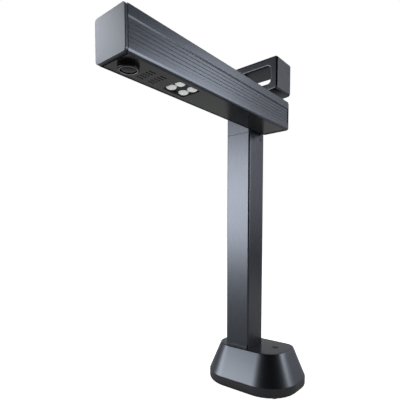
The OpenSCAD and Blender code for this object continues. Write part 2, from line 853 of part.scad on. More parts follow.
module lens_glass() {
    dome_r = 11;
    rim = 6.6;
    rise = dome_r - sqrt(dome_r * dome_r - rim * rim);
    color("#26323b") at_lens() intersection() {
        translate([0, 0, lens_z0 + 0.35]) cylinder(h = 2.15, r = rim);
        translate([0, 0, lens_z0 + 0.35 + dome_r - rise + 1.4]) sphere(dome_r);
        difference() {
            translate([0, 0, lens_z0 + 0.35]) cylinder(h = 3, r = rim);
            difference() {
                translate([0, 0, lens_z0 - 1]) cylinder(h = 2.52, r = rim + 1);
                translate([0, 0, lens_z0 - 2]) cylinder(h = 4, r = 5.58);
            }
        }
    }
}

module lens_holder() {
    color("#2b2d30") at_lens() difference() {
        translate([-12, -12, barrel_top]) cube([24, 24, holder_top - barrel_top]);
        translate([0, 0, barrel_top - 1]) cylinder(h = 20, r = 6.5);
    }
}

module image_sensor() {
    color("#3d4450") at_lens() translate([-4.5, -4, holder_top - 1.2]) cube([9, 8, 1.2]);
}

module camera_board() {
    color("#2f6b45") at_lens() {
        translate([-15, -15, holder_top]) cube([30, 32, camera_board_t]);
        translate([-5, 10, holder_top + camera_board_t - EPS]) cube([10, 5, 2.5]);
    }
}

// ---- lamp ----

module at_leds() {
    for (x = [-0.5, 0.5], y = [-0.5, 0.5])
        translate([arm_x + x * led_pitch_x, lamp_y + y * led_pitch_y, 0]) children();
}

module led_tray() {
    w = lamp_w / 2 - 0.1;
    l = lamp_l / 2 - 0.1;
    r = lamp_r - 0.1;
    brim_z = cover_z + cover_t;
    color("#39393a") difference() {
        union() {
            plate_z([arm_x - w, lamp_y - l], [arm_x + w, lamp_y + l], r, cover_z + 0.2, tray_floor + tray_t);
            plate_z([arm_x - w - 2, lamp_y - l - 2], [arm_x + w + 2, lamp_y + l + 2], r, brim_z, brim_z + 1);
        }
        plate_z([arm_x - w + 0.8, lamp_y - l + 0.8], [arm_x + w - 0.8, lamp_y + l - 0.8], r - 0.8,
            cover_z - 1, tray_floor);
        at_leds() translate([0, 0, tray_floor - 1]) cylinder(h = tray_t + 2, r = led_d / 2 + 0.1);
    }
}

module led_lenses() {
    rise = led_dome - 0.5;
    dome_r = (led_d * led_d / 4 + rise * rise) / (2 * rise);
    color("#e9e6da") at_leds() {
        translate([0, 0, tray_floor + tray_t]) cylinder(h = 1, r = led_d / 2 + 0.5);
        intersection() {
            translate([0, 0, tray_floor - led_dome]) cylinder(h = led_dome + tray_t + EPS, r = led_d / 2);
            translate([0, 0, tray_floor - led_dome + dome_r]) sphere(dome_r);
        }
    }
}

module led_chips() {
    color("#e8d25a") at_leds() translate([-1.75, -1.75, led_board_z - 0.8]) cube([3.5, 3.5, 0.8]);
}

module led_board() {
    color("#f0f0ec") block([arm_x, lamp_y], [lamp_w + 4, lamp_l + 4], led_board_z, led_board_z + 1.2);
    color("#f0f0ec") for (x = [-1, 1], y = [-1, 1])
        translate([arm_x + x * (lamp_w / 2 + 0.6), lamp_y + y * (lamp_l / 2 + 0.6), cover_z + cover_t + 1])
            cylinder(h = led_board_z - cover_z - cover_t - 1 + EPS, r = 1.2);
}

// ---- microphones ----

mic_z = cover_z + cover_t + 2.2;

module at_mics() {
    for (g = mic_group_y) translate([mic_x, arm_y0 + g, 0]) children();
}

module microphones() {
    color("#b9bcc0") at_mics() translate([0, 0, mic_z - 1.6]) cylinder(h = 1.6, r = 3);
}

module microphone_board() {
    y = arm_y0 + (mic_group_y[0] + mic_group_y[1]) / 2;
    color("#2f6b45") {
        block([arm_x, y], [30, 26], mic_z, mic_z + 1.2);
        for (x = [-13, 13], s = [-1, 1])
            translate([arm_x + x, y + s * 11, cover_z + cover_t])
                cylinder(h = mic_z - cover_z - cover_t + EPS, r = 1.2);
    }
}

module arm_cable() {
    lead_z = hinge_z - 3;
    color("#1f2123") {
        wire([
            [arm_x0 - side_gap + 0.1, hinge_y, hinge_z], [arm_x, hinge_y, hinge_z],
            [arm_x, lens_y + 30, hinge_z], [arm_x, lens_y + 17, holder_top + camera_board_t + 2.4]
        ], 3.6);
        wire([[arm_x + 6, lamp_y, led_board_z + 2.3], [arm_x, lamp_y + 8, lead_z]], 2);
        wire([[arm_x + 6, arm_y0 + 46, mic_z + 2.3], [arm_x, arm_y0 + 60, lead_z]], 2);
    }
}

// Draws its children turned with the arm about the hinge
module with_arm() {
    translate([0, hinge_y, hinge_z]) rotate([arm_fold, 0, 0]) translate([0, -hinge_y, -hinge_z]) children();
}

base_shell();
base_top_panel();
base_tray();
ballast_plate();
rubber_feet();
base_screws();
column_socket();
socket_screws();
column_tube();
column_clamp_screws();
main_board();
board_screws();
usb_board();
usb_socket();
switch_board();
button_switch();
column_cable();
head_block();
head_screws();
hinge_access_cap();
carry_handle();
handle_screws();
hinge_bush();
thrust_washer();
friction_washer();
stop_pin();
with_arm() disc_springs();
with_arm() hinge_nut();
with_arm() hinge_shaft();
with_arm() hinge_plate();
with_arm() hinge_plate_screws();
with_arm() arm_extrusion();
with_arm() arm_bottom_cover();
with_arm() front_cap();
with_arm() rear_cap();
with_arm() rear_cap_screws();
with_arm() lens_barrel();
with_arm() lens_retainer();
with_arm() lens_glass();
with_arm() lens_holder();
with_arm() image_sensor();
with_arm() camera_board();
with_arm() led_tray();
with_arm() led_lenses();
with_arm() led_chips();
with_arm() led_board();
with_arm() microphone_board();
with_arm() microphones();
with_arm() arm_cable();
lamp_button();
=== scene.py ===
from math import cos, pi, radians, sin

import bmesh
import bpy
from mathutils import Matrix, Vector


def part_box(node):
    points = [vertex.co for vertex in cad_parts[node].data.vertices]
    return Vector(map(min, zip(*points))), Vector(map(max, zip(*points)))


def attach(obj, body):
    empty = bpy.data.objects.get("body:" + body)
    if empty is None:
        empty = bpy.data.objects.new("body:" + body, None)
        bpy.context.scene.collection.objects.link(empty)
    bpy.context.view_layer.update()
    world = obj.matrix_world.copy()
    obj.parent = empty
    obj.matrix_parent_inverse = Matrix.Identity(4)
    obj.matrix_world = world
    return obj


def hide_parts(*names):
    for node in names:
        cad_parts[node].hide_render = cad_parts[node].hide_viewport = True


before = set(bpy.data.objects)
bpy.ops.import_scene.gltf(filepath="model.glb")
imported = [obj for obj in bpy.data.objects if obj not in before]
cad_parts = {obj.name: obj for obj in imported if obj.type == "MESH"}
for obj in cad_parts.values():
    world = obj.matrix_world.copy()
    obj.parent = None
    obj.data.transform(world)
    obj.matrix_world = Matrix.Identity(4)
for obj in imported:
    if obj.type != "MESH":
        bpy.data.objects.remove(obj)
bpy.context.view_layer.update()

MM = 0.001

# ---- studio ----
# A pale floor under soft boxes: a broad low one and a high one in front on the left, two narrow
# ones behind on the right and a faint one overhead. The back and the left of the room glow and
# the side behind the camera is dark, so satin metal shows bright bands with dark gaps.

camera = bpy.data.cameras.new("camera")
camera.lens = 31.8
camera.sensor_width = 36
camera.shift_x = -0.0098
camera.shift_y = 0.1355
camera_object = bpy.data.objects.new("camera", camera)
camera_object.location = (0.2733, -0.4482, 0.2221)
camera_object.rotation_euler = (radians(90 - 3.40), 0, radians(39.71))
bpy.context.scene.collection.objects.link(camera_object)
bpy.context.scene.camera = camera_object
bpy.context.scene.view_settings.view_transform = "Standard"


def linear(hex_colour):
    """The linear RGBA colour of an sRGB hex value such as #4a4c50."""
    parts = [int(hex_colour[i:i + 2], 16) / 255 for i in (1, 3, 5)]
    return [c / 12.92 if c <= 0.04045 else ((c + 0.055) / 1.055) ** 2.4 for c in parts] + [1.0]


def add_node(tree, kind, inputs=None, **settings):
    """Adds a node, sets its settings, and gives each input a value or links a socket to it."""
    node = tree.nodes.new(kind)
    for key, value in settings.items():
        setattr(node, key, value)
    for key, value in (inputs or {}).items():
        if isinstance(value, bpy.types.NodeSocket):
            tree.links.new(value, node.inputs[key])
        else:
            node.inputs[key].default_value = value
    return node


world = bpy.data.worlds.new("studio")
world.use_nodes = True
bpy.context.scene.world = world
room = world.node_tree
room.nodes.clear()
ray = add_node(room, "ShaderNodeLightPath")
direction = add_node(room, "ShaderNodeTexCoord")
away = add_node(room, "ShaderNodeVectorMath", {0: direction.outputs["Generated"], 1: (0.174, 0.985, 0)},
                operation="DOT_PRODUCT")
depth = add_node(room, "ShaderNodeMapRange", {
    "Value": away.outputs["Value"], "From Min": 0.25, "From Max": 1.0, "To Min": 0.0, "To Max": 0.68})
left = add_node(room, "ShaderNodeVectorMath", {0: direction.outputs["Generated"], 1: (-0.985, 0.174, 0)},
                operation="DOT_PRODUCT")
fill = add_node(room, "ShaderNodeMapRange", {
    "Value": left.outputs["Value"], "From Min": 0.5, "From Max": 1.0, "To Min": 0.01, "To Max": 0.5})
total = add_node(room, "ShaderNodeMath", {0: depth.outputs[0], 1: fill.outputs[0]}, operation="ADD")
seen = add_node(room, "ShaderNodeBackground", {"Color": linear("#ffffff"), "Strength": 1.0})
lit = add_node(room, "ShaderNodeBackground", {"Color": linear("#f6f8ff"), "Strength": total.outputs[0]})
both = add_node(room, "ShaderNodeMixShader", {
    0: ray.outputs["Is Camera Ray"], 1: lit.outputs[0], 2: seen.outputs[0]})
add_node(room, "ShaderNodeOutputWorld", {"Surface": both.outputs[0]})


def soft_box(name, azimuth, distance, height, size, radiance, aim=0.25):
    """An area light; azimuth is from the front, positive to the right."""
    light = bpy.data.lights.new(name, "AREA")
    light.shape = "RECTANGLE"
    light.size, light.size_y = size
    light.energy = radiance * pi * size[0] * size[1]
    place = Vector((sin(radians(azimuth)) * distance, -cos(radians(azimuth)) * distance, height))
    holder = bpy.data.objects.new(name, light)
    holder.location = place
    holder.rotation_euler = (Vector((0, -0.05, aim)) - place).to_track_quat("-Z", "Y").to_euler()
    bpy.context.scene.collection.objects.link(holder)


soft_box("key_box", -38, 4.0, 0.68, (3.3, 1.34), 8.4, 0.68)
soft_box("high_box", -58, 4.0, 2.5, (1.1, 0.9), 9.0, 0.4)
soft_box("strip_box", 111, 1.16, 0.47, (0.32, 0.56), 5.8, 0.3)
soft_box("back_box", 129, 1.21, 0.66, (0.40, 0.70), 4.2, 0.45)
soft_box("overhead_box", 170, 0.4, 2.2, (2.0, 2.0), 0.5)

bpy.ops.object.select_all(action="DESELECT")
bpy.ops.mesh.primitive_plane_add(size=30)
floor = bpy.context.object
floor.name = "floor"
floor_paper = bpy.data.materials.new("matt_white_paper")
floor_paper.use_nodes = True
paper = floor_paper.node_tree
paper.nodes.clear()
ray = add_node(paper, "ShaderNodeLightPath")
pale = add_node(paper, "ShaderNodeBsdfDiffuse", {"Color": linear("#f4f4f3")})
glow = add_node(paper, "ShaderNodeEmission", {"Color": linear("#ffffff"), "Strength": 0.95})
bright = add_node(paper, "ShaderNodeAddShader", {0: pale.outputs[0], 1: glow.outputs[0]})
dull = add_node(paper, "ShaderNodeBsdfDiffuse", {"Color": linear("#ebebea")})
either = add_node(paper, "ShaderNodeMixShader", {
    0: ray.outputs["Is Camera Ray"], 1: dull.outputs[0], 2: bright.outputs[0]})
add_node(paper, "ShaderNodeOutputMaterial", {"Surface": either.outputs[0]})
floor.data.materials.append(floor_paper)

# ---- base tray ----
# The upright dark rim at the foot of the base is the side of a moulded ABS tray, with a
# rounded lower edge and a flat floor. The shell stands on it with a fine shadow line between.


X, Y, Z = 0, 1, 2


def start_clean():
    """Deselects everything, so that the next primitive is shaped alone."""
    if bpy.context.object and bpy.context.object.mode != "OBJECT":
        bpy.ops.object.mode_set(mode="OBJECT")
    bpy.ops.object.select_all(action="DESELECT")


def cuboid(name, low, high):
    """A box primitive between two corners, left in object mode."""
    start_clean()
    low, high = Vector(low), Vector(high)
    bpy.ops.mesh.primitive_cube_add(size=1, location=(low + high) / 2)
    piece = bpy.context.object
    piece.name = piece.data.name = name
    piece.scale = high - low
    bpy.ops.object.transform_apply(location=True, rotation=True, scale=True)
    return piece


def drum(name, centre, radius, depth, axis="Z", sides=64):
    """A cylinder primitive centred on a point and turned to an axis."""
    start_clean()
    turn = {"X": (0, pi / 2, 0), "Y": (pi / 2, 0, 0), "Z": (0, 0, 0)}[axis]
    bpy.ops.mesh.primitive_cylinder_add(
        vertices=sides, radius=radius, depth=depth, location=centre, rotation=turn)
    piece = bpy.context.object
    piece.name = piece.data.name = name
    bpy.ops.object.transform_apply(location=True, rotation=True, scale=True)
    return piece


def pick(piece, kind, test):
    """Enters edit mode with only the vertices, edges or faces that pass the test selected."""
    bpy.context.view_layer.objects.active = piece
    if piece.mode != "EDIT":
        bpy.ops.object.mode_set(mode="EDIT")
    bpy.ops.mesh.select_mode(type={"verts": "VERT", "edges": "EDGE", "faces": "FACE"}[kind])
    bpy.ops.mesh.select_all(action="DESELECT")
    mesh = bmesh.from_edit_mesh(piece.data)
    mesh.normal_update()
    for element in getattr(mesh, kind):
        if test(element):
            element.select_set(True)
    mesh.select_flush_mode()
    bmesh.update_edit_mesh(piece.data)


def near(a, b, slack=2e-5):
    """True if two values are the same but for rounding."""
    return abs(a - b) < slack


def along(edge, axis):
    """True if an edge runs along X, Y or Z, as a number."""
    run = edge.verts[1].co - edge.verts[0].co
    return run.length > 1e-9 and abs(run[axis]) / run.length > 0.999


def level(edge, axis, value):
    """True if both ends of an edge lie at a value on an axis."""
    return all(near(v.co[axis], value) for v in edge.verts)


def bevel_edges(piece, test, width, segments=4):
    """Rounds the edges that pass the test."""
    pick(piece, "edges", test)
    bpy.ops.mesh.bevel(offset=width, segments=segments, profile=0.5, affect="EDGES")


def cut_away(piece, cutter):
    """Subtracts a cutter from a piece and removes the cutter."""
    bpy.ops.object.mode_set(mode="OBJECT")
    cut = piece.modifiers.new("cut", "BOOLEAN")
    cut.operation = "DIFFERENCE"
    cut.solver = "EXACT"
    cut.object = cutter
    start_clean()
    bpy.context.view_layer.objects.active = piece
    piece.select_set(True)
    bpy.ops.object.modifier_apply(modifier=cut.name)
    bpy.data.objects.remove(cutter)


def soften(piece, width, segments=2, angle=30):
    """Rounds the remaining sharp edges with a Bevel modifier, then shades by angle."""
    if piece.mode != "OBJECT":
        bpy.ops.object.mode_set(mode="OBJECT")
    start_clean()
    bpy.context.view_layer.objects.active = piece
    piece.select_set(True)
    if width:
        edge = piece.modifiers.new("edge", "BEVEL")
        edge.width = width
        edge.segments = segments
        edge.limit_method = "ANGLE"
        edge.angle_limit = radians(angle)
        edge.use_clamp_overlap = True
        bpy.ops.object.modifier_apply(modifier=edge.name)
    bpy.ops.object.shade_smooth_by_angle(angle=radians(angle))
    flat = piece.modifiers.new("flat", "WEIGHTED_NORMAL")
    flat.keep_sharp = True
    bpy.ops.object.modifier_apply(modifier=flat.name)


def settle(piece, body, slot, material, *nodes):
    """Gives a finished piece its material and its body, and hides the CAD nodes it stands for. The slot is not
    used.
    """
    if piece.mode != "OBJECT":
        bpy.ops.object.mode_set(mode="OBJECT")
    piece.data.materials.clear()
    piece.data.materials.append(material)
    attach(piece, body)
    if nodes:
        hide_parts(*nodes)


def new_finish(name):
    """A material with a cleared tree, its Object coordinates and its shader."""
    material = bpy.data.materials.new(name)
    material.use_nodes = True
    tree = material.node_tree
    tree.nodes.clear()
    where = add_node(tree, "ShaderNodeTexCoord").outputs["Object"]
    shader = add_node(tree, "ShaderNodeBsdfPrincipled")
    add_node(tree, "ShaderNodeOutputMaterial", {"Surface": shader.outputs[0]})
    return material, tree, where, shader


def moulded_plastic(name, colour, roughness, grain=0.35, depth=0.02, mottle=0.08, ior=1.5):
    """ABS from a spark-eroded mould: a fine even grain (grain and depth in mm) that breaks up
    the reflection, with a faint mottle in the colour."""
    material, tree, where, shader = new_finish(name)
    fine = add_node(tree, "ShaderNodeTexNoise", {
        "Vector": where, "Scale": 1 / (grain * MM), "Detail": 2, "Roughness": 0.6})
    broad = add_node(tree, "ShaderNodeTexNoise", {"Vector": where, "Scale": 1 / (25 * MM), "Detail": 3})
    dark, light = linear(colour), linear(colour)
    dark[:3] = [c * (1 - mottle) for c in dark[:3]]
    light[:3] = [min(1, c * (1 + mottle)) for c in light[:3]]
    tint = add_node(tree, "ShaderNodeMix", {0: broad.outputs["Fac"], 6: dark, 7: light}, data_type="RGBA")
    gloss = add_node(tree, "ShaderNodeMapRange", {
        "Value": fine.outputs["Fac"], "To Min": roughness - 0.05, "To Max": roughness + 0.05})
    relief = add_node(tree, "ShaderNodeBump", {
        "Height": fine.outputs["Fac"], "Strength": 0.1, "Distance": depth * MM})
    for socket, value in (("Base Color", tint.outputs[2]), ("Roughness", gloss.outputs[0]),
                          ("Normal", relief.outputs[0])):
        tree.links.new(value, shader.inputs[socket])
    shader.inputs["IOR"].default_value = ior
    return material


FLARE = 17 * MM
FRONT_CORNER = 45.5 * MM
BACK_CORNER = 34.2 * MM
CORNER_STEPS = 20
TRAY_ROUND = 5.5 * MM
WALL = 3 * MM
tray_low, tray_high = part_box("base_tray")
shell_low, shell_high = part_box("base_shell")


def base_outline(name, height, inset=0.0):
    """The outline of the base's foot as one face: two large corners in front, two small behind."""
    start_clean()
    size = tray_high - tray_low
    bpy.ops.mesh.primitive_plane_add(size=1, location=(0, 0, height))
    piece = bpy.context.object
    piece.name = piece.data.name = name
    piece.scale = (size.x, size.y, 1)
    bpy.ops.object.transform_apply(location=True, rotation=True, scale=True)
    for test, radius in (
            (lambda v: v.co.y < 0, FRONT_CORNER),
            (lambda v: v.co.y > size.y / 2 - 1e-4, BACK_CORNER)):
        pick(piece, "verts", test)
        bpy.ops.mesh.bevel(offset=radius, segments=CORNER_STEPS, profile=0.5, affect="VERTICES")
    if inset:
        pick(piece, "faces", lambda f: True)
        bpy.ops.mesh.inset(thickness=inset, depth=0, use_even_offset=True)
        bpy.ops.mesh.select_all(action="INVERT")
        bpy.ops.mesh.delete(type="FACE")
    return piece


rim_plastic = moulded_plastic("abs_dark_grey_rim", "#1d1f22", 0.38)

tray = base_outline("base_tray_moulded", tray_low.z)
pick(tray, "faces", lambda f: True)
bpy.ops.mesh.extrude_region_move(TRANSFORM_OT_translate={"value": (0, 0, tray_high.z - tray_low.z)})
bpy.ops.mesh.select_all(action="SELECT")
bpy.ops.mesh.normals_make_consistent(inside=False)
bevel_edges(tray, lambda e: level(e, Z, tray_low.z), TRAY_ROUND, 6)
pick(tray, "faces", lambda f: f.normal.z > 0.9 and near(f.calc_center_median().z, tray_high.z))
bpy.ops.mesh.inset(thickness=WALL, use_even_offset=True)
bpy.ops.mesh.extrude_region_move(
    TRANSFORM_OT_translate={"value": (0, 0, -(tray_high.z - tray_low.z - WALL))})
bevel_edges(tray, lambda e: level(e, Z, tray_high.z), 0.35 * MM, 2)
usb_low, usb_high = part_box("usb_socket")
usb_clear = Vector((0.25, 0, 0.25)) * MM
port = cuboid("port", usb_low - usb_clear, usb_high + usb_clear + Vector((0, 3, 0)) * MM)
bevel_edges(port, lambda e: along(e, Y), 1.2 * MM, 4)
cut_away(tray, port)
soften(tray, 0)
settle(tray, "stand", "base_rim", rim_plastic, "base_tray")

# ---- rubber feet ----
# Four moulded rubber discs pressed into the tray, with a rounded lower edge.


def rubber(name, colour, roughness=0.75):
    """Black moulded rubber: dull, with a very fine grain and a dusty bloom."""
    material, tree, where, shader = new_finish(name)
    grain = add_node(tree, "ShaderNodeTexNoise", {"Vector": where, "Scale": 1 / (0.25 * MM), "Detail": 3})
    dust = add_node(tree, "ShaderNodeTexNoise", {"Vector": where, "Scale": 1 / (6 * MM), "Detail": 4})
    bloom = add_node(tree, "ShaderNodeMix", {
        0: dust.outputs["Fac"], 6: linear(colour), 7: linear("#2c2c2e")}, data_type="RGBA")
    relief = add_node(tree, "ShaderNodeBump", {
        "Height": grain.outputs["Fac"], "Strength": 0.3, "Distance": 0.03 * MM})
    tree.links.new(bloom.outputs[2], shader.inputs["Base Color"])
    tree.links.new(relief.outputs[0], shader.inputs["Normal"])
    shader.inputs["Roughness"].default_value = roughness
    shader.inputs["IOR"].default_value = 1.52
    return material


foot_rubber = rubber("black_rubber", "#17171a")
feet_low, feet_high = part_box("rubber_feet")
FOOT_R = 5 * MM
for name, x, y in (
        ("front_left", -48.5, -29), ("front_right", 48.5, -29), ("back_left", -52, 32), ("back_right", 52, 32)):
    height = feet_high.z - feet_low.z
    foot = drum(f"foot_{name}", (x * MM, y * MM, feet_low.z + height / 2), FOOT_R, height, sides=48)
    bevel_edges(foot, lambda e: level(e, Z, feet_low.z), 0.5 * MM, 4)
    soften(foot, 0)
    settle(foot, "stand", "rubber", foot_rubber, "rubber_feet")

# ---- base shell ----
# The tapered cover of the base: ABS with a metallic lacquer under a thin clear coat. All four
# corners are cones, so the coat shows bright and dark bands where they turn.


def metallic_lacquer(name, colour, roughness):
    """Dark grey metallic lacquer: flakes vary its tone a little, and a thin clear coat adds a
    faint sheen."""
    material, tree, where, shader = new_finish(name)
    flake = add_node(tree, "ShaderNodeTexVoronoi", {"Vector": where, "Scale": 1 / (0.35 * MM)})
    tone = add_node(tree, "ShaderNodeMapRange", {
        "Value": flake.outputs["Distance"], "To Min": 0.95, "To Max": 1.05})
    base = add_node(tree, "ShaderNodeVectorMath", {0: linear(colour)[:3], 1: (1, 1, 1)}, operation="MULTIPLY")
    tree.links.new(tone.outputs[0], base.inputs[1])
    peel = add_node(tree, "ShaderNodeTexNoise", {"Vector": where, "Scale": 1 / (2.5 * MM), "Detail": 1})
    gloss = add_node(tree, "ShaderNodeMapRange", {
        "Value": peel.outputs["Fac"], "To Min": roughness - 0.02, "To Max": roughness + 0.02})
    relief = add_node(tree, "ShaderNodeBump", {
        "Height": peel.outputs["Fac"], "Strength": 0.03, "Distance": 0.01 * MM})
    tree.links.new(base.outputs[0], shader.inputs["Base Color"])
    tree.links.new(gloss.outputs[0], shader.inputs["Roughness"])
    tree.links.new(relief.outputs[0], shader.inputs["Normal"])
    shader.inputs["Metallic"].default_value = 1.0
    shader.inputs["Coat Weight"].default_value = 0.05
    shader.inputs["Coat Roughness"].default_value = 0.12
    return material


shell_lacquer = metallic_lacquer("metallic_grey_lacquer", "#4b4f55", 0.35)
EDGE_ROUND = 1.1 * MM
PANEL_INSET = 2.5 * MM
PANEL_DEPTH = 1.5 * MM
SHELL_WALL = 2 * MM
COLUMN_WAY_ROUND = 2.6 * MM

shell = base_outline("base_shell_moulded", shell_low.z)
pick(shell, "faces", lambda f: True)
bpy.ops.mesh.inset(thickness=FLARE, use_even_offset=True)
bpy.ops.transform.translate(value=(0, 0, shell_high.z - shell_low.z))
pick(shell, "faces", lambda f: near(f.calc_center_median().z, shell_high.z))
bpy.ops.mesh.inset(thickness=PANEL_INSET, use_even_offset=True)
bpy.ops.mesh.extrude_region_move(TRANSFORM_OT_translate={"value": (0, 0, -PANEL_DEPTH)})
bpy.ops.mesh.select_all(action="SELECT")
bpy.ops.mesh.normals_make_consistent(inside=False)
bpy.ops.object.mode_set(mode="OBJECT")
thick = shell.modifiers.new("wall", "SOLIDIFY")
thick.thickness = SHELL_WALL
thick.offset = -1
bpy.ops.object.modifier_apply(modifier=thick.name)


def top_rim(edge):
    """The outer edge of the shell's top face."""
    return level(edge, Z, shell_high.z) and sum(
        near(f.normal.z, 1, 0.01) for f in edge.link_faces) == 1 and any(
        0.05 < f.normal.z < 0.9 for f in edge.link_faces)


bevel_edges(shell, top_rim, EDGE_ROUND, 4)
column_low, column_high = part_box("column_tube")
play = Vector((0.2, 0.2, 0)) * MM
way = cuboid("way", Vector((column_low.x, column_low.y, shell_high.z - 0.02)) - play,
             Vector((column_high.x, column_high.y, shell_high.z + 0.02)) + play)
bevel_edges(way, lambda e: along(e, Z), COLUMN_WAY_ROUND, 5)
cut_away(shell, way)
soften(shell, 0, angle=25)
settle(shell, "stand", "base_shell", shell_lacquer, "base_shell")

# ---- base top panel ----
# A flat dark satin panel let into the top of the shell, cut out for the column and the lamp button.

panel_plastic = moulded_plastic("abs_matt_grey_panel", "#09090a", 0.22, ior=1.42)
panel_low, panel_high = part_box("base_top_panel")
button_low, button_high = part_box("lamp_button")
button_centre = (button_low + button_high) / 2
BUTTON_R = 4.5 * MM

panel = base_outline("top_panel", panel_low.z, FLARE + PANEL_INSET + 0.1 * MM)
pick(panel, "faces", lambda f: True)
bpy.ops.mesh.extrude_region_move(TRANSFORM_OT_translate={"value": (0, 0, panel_high.z - panel_low.z)})
bpy.ops.mesh.select_all(action="SELECT")
bpy.ops.mesh.normals_make_consistent(inside=False)
way = cuboid("way", Vector((column_low.x, column_low.y, panel_low.z - 0.01)) - play * 0.7,
             Vector((column_high.x, column_high.y, panel_high.z + 0.01)) + play * 0.7)
bevel_edges(way, lambda e: along(e, Z), COLUMN_WAY_ROUND, 5)
cut_away(panel, way)
cut_away(panel, drum("hole", (button_centre.x, button_centre.y, panel_low.z), BUTTON_R + 0.2 * MM, 10 * MM))
soften(panel, 0.25 * MM, 2)
settle(panel, "stand", "dark_panel", panel_plastic, "base_top_panel")

# ---- lamp button ----
# A round moulded cap with a shallow finger dish, flush with the panel; the stem to its switch is not built.

button_plastic = moulded_plastic("abs_black_button", "#232426", 0.42)
button = drum("lamp_button_cap", (button_centre.x, button_centre.y, (button_low.z + button_high.z) / 2),
              BUTTON_R, button_high.z - button_low.z)
pick(button, "faces", lambda f: f.normal.z > 0.9)
for part, drop in ((0.3, -0.15), (0.9, -0.25), (1.1, -0.18), (1.0, -0.06)):
    bpy.ops.mesh.inset(thickness=part * MM)
    bpy.ops.transform.translate(value=(0, 0, drop * MM))
pick(button, "faces", lambda f: f.normal.z < -0.9)
bpy.ops.mesh.inset(thickness=2.5 * MM)
soften(button, 0)
settle(button, "button", "black_plastic", button_plastic, "lamp_button")

# ---- column ----
# A drawn square aluminium tube, anodised dark grey, with counterbored holes near its top
# for the two screws that hold the head block.


def anodised(name, colour, roughness, grain_axis, line=0.25, depth=0.004, drift=0.06):
    """Anodised aluminium: dyed grey, satin, with fine drawn lines along one axis (line width
    in mm) that streak the reflection, and a slight drift in the dye."""
    material, tree, where, shader = new_finish(name)
    stretch = [1.0, 1.0, 1.0]
    stretch[grain_axis] = 0.012
    drawn = add_node(tree, "ShaderNodeMapping", {"Vector": where, "Scale": stretch})
    lines = add_node(tree, "ShaderNodeTexNoise", {
        "Vector": drawn.outputs[0], "Scale": 1 / (line * MM), "Detail": 3, "Roughness": 0.6})
    dye = add_node(tree, "ShaderNodeTexNoise", {"Vector": where, "Scale": 1 / (60 * MM), "Detail": 2})
    dark, light = linear(colour), linear(colour)
    dark[:3] = [c * (1 - drift) for c in dark[:3]]
    light[:3] = [c * (1 + drift) for c in light[:3]]
    tint = add_node(tree, "ShaderNodeMix", {0: dye.outputs["Fac"], 6: dark, 7: light}, data_type="RGBA")
    gloss = add_node(tree, "ShaderNodeMapRange", {
        "Value": lines.outputs["Fac"], "From Min": 0.3, "From Max": 0.7,
        "To Min": roughness - 0.03, "To Max": roughness + 0.03})
    relief = add_node(tree, "ShaderNodeBump", {
        "Height": lines.outputs["Fac"], "Strength": 0.03, "Distance": depth * MM})
    tree.links.new(tint.outputs[2], shader.inputs["Base Color"])
    tree.links.new(gloss.outputs[0], shader.inputs["Roughness"])
    tree.links.new(relief.outputs[0], shader.inputs["Normal"])
    shader.inputs["Metallic"].default_value = 1.0
    return material


column_metal = anodised("anodised_aluminium_drawn_upright", "#474a50", 0.29, Z)
COLUMN_ROUND = 2.5 * MM
TUBE_WALL = 2.5 * MM

tube = cuboid("column_tube_drawn", column_low, column_high)
bevel_edges(tube, lambda e: along(e, Z), COLUMN_ROUND, 6)
pick(tube, "faces", lambda f: abs(f.normal.z) > 0.9)
bpy.ops.mesh.inset(thickness=TUBE_WALL, use_even_offset=True)
bpy.ops.mesh.delete(type="ONLY_FACE")
pick(tube, "edges", lambda e: e.is_boundary)
bpy.ops.mesh.bridge_edge_loops()
bpy.ops.mesh.select_all(action="SELECT")
bpy.ops.mesh.normals_make_consistent(inside=False)
screw_low, screw_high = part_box("head_screws")
HEAD_SCREW_R = 2.6 * MM
screw_z = (screw_low.z + screw_high.z) / 2
screw_ys = (screw_low.y + HEAD_SCREW_R, screw_high.y - HEAD_SCREW_R)
for y in screw_ys:
    sink = drum("sink", (column_high.x, y, screw_z), HEAD_SCREW_R + 0.35 * MM, 1.6 * MM, "X", 32)
    cut_away(tube, sink)
soften(tube, 0.15 * MM, 2, 35)
settle(tube, "stand", "anodised_column", column_metal, "column_tube")

# ---- head block ----
# A machined block of the column's own section on top of the tube. The hinge runs through it,
# and a round cap closes the hole over the hinge nut.

head_low, head_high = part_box("head_block")
SEAM_GAP = 0.6 * MM
head = cuboid("head_block_machined", (head_low.x, head_low.y, column_high.z + SEAM_GAP), head_high)
bevel_edges(head, lambda e: along(e, Z), COLUMN_ROUND, 6)
pick(head, "faces", lambda f: f.normal.z < -0.9)
bpy.ops.mesh.inset(thickness=1.2 * MM, use_even_offset=True)
bpy.ops.mesh.extrude_region_move(TRANSFORM_OT_translate={"value": (0, 0, -SEAM_GAP)})
cap_low, cap_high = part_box("hinge_access_cap")
cap_centre = (cap_low + cap_high) / 2
cap_radius = (cap_high.z - cap_low.z) / 2
cut_away(head, drum("mouth", (head_low.x, cap_centre.y, cap_centre.z), cap_radius + 0.1 * MM, 6 * MM, "X"))
cut_away(head, drum("shaft_way", (head_high.x, cap_centre.y, cap_centre.z), 9 * MM, 10 * MM, "X"))
soften(head, 0.15 * MM, 2)
settle(head, "stand", "anodised_column", column_metal, "head_block")

# ---- carry handle ----
# A cast aluminium loop screwed to the head block, anodised dark grey. Its front and
# back rims are rounded but for the lowest, so a hand can lift by it.

